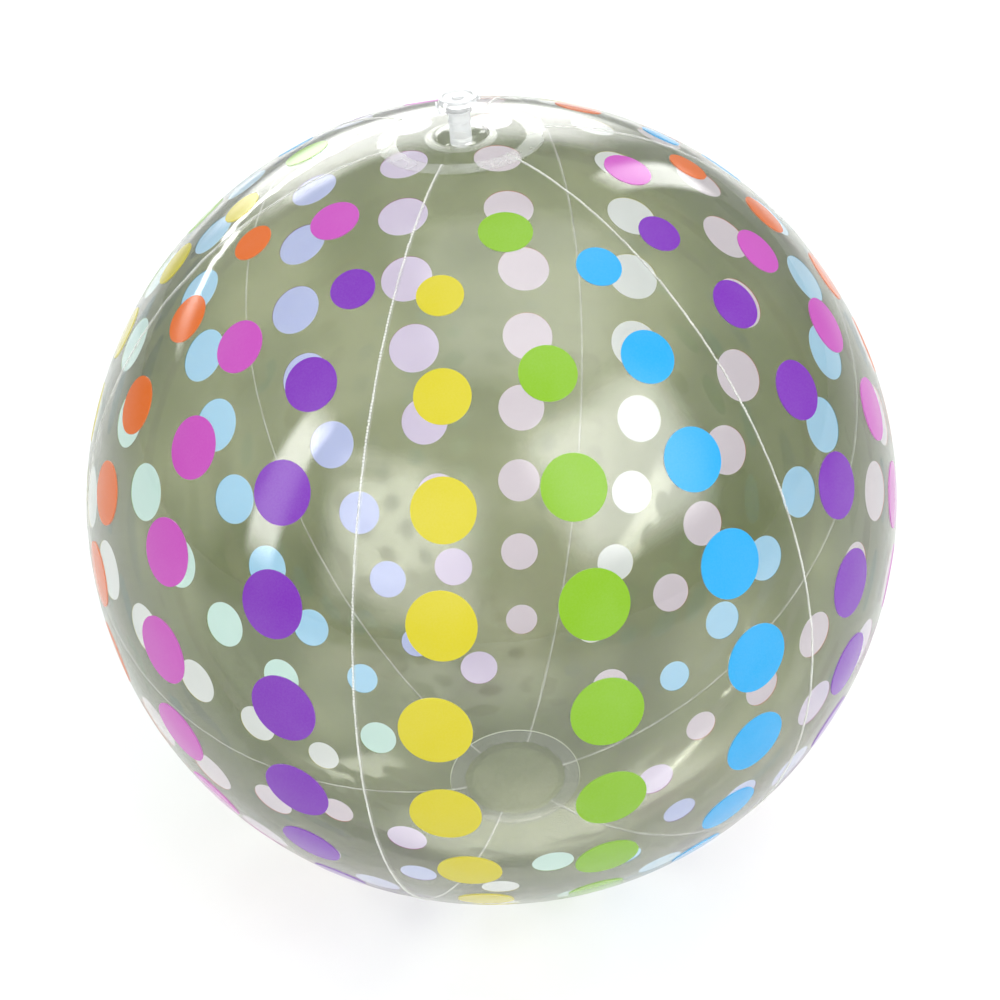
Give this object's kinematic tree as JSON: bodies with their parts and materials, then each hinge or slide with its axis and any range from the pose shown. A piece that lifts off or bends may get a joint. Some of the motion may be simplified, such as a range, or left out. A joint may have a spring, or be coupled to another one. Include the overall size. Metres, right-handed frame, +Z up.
{
  "type": "inflatable beach ball",
  "caption": "Clear inflatable beach ball of welded film gores with printed dots, polar discs and a pop-up mouth valve with a strapped stopper.",
  "frame": {"origin": "on the floor under the ball's centre, at the middle of the flat where the bottom disc rests", "axes": "+Z up along the valve's axis; -Y faces the middle of the gore with yellow, green and blue dots; +X to the right seen from there"},
  "size_m": [0.388, 0.388, 0.401],
  "materials": {
    "film": "clear glossy soft vinyl film",
    "disc_film": "clear glossy soft vinyl film with a milky weld band",
    "valve": "clear glossy moulded soft vinyl",
    "ink_yellow": "glossy printed ink",
    "ink_green": "glossy printed ink",
    "ink_blue": "glossy printed ink",
    "ink_violet": "glossy printed ink",
    "ink_magenta": "glossy printed ink",
    "ink_orange": "glossy printed ink"
  },
  "bodies": {
    "ball": {"gore_1": "film", "gore_2": "film", "gore_3": "film", "gore_4": "film", "gore_5": "film", "gore_6": "film", "top_disc": "disc_film", "bottom_disc": "disc_film", "valve_flange": "valve", "valve_diaphragm": "valve"},
    "valve": {"valve_stem": "valve", "stopper_strap": "valve"},
    "plug": {"stopper": "valve"},
    "flap": {"check_flap": "valve"}
  },
  "joints": [
    {"name": "valve_sink", "type": "slide", "parent": "ball", "child": "valve", "axis": [0, 0, 1], "range_m": [-0.013, 0], "deforming": ["valve_diaphragm"]},
    {"name": "stopper_swing", "type": "hinge", "parent": "valve", "child": "plug", "pos_m": [-0.0091, 0, 0.397], "axis": [0, -1, 0], "range_deg": [0, 90], "deforming": ["stopper_strap"]},
    {"name": "flap_open", "type": "hinge", "parent": "valve", "child": "flap", "pos_m": [0.0041, 0, 0.3797], "axis": [0, -1, 0], "range_deg": [0, 65], "stiffness_Nm_per_rad": 0.0002}
  ]
}
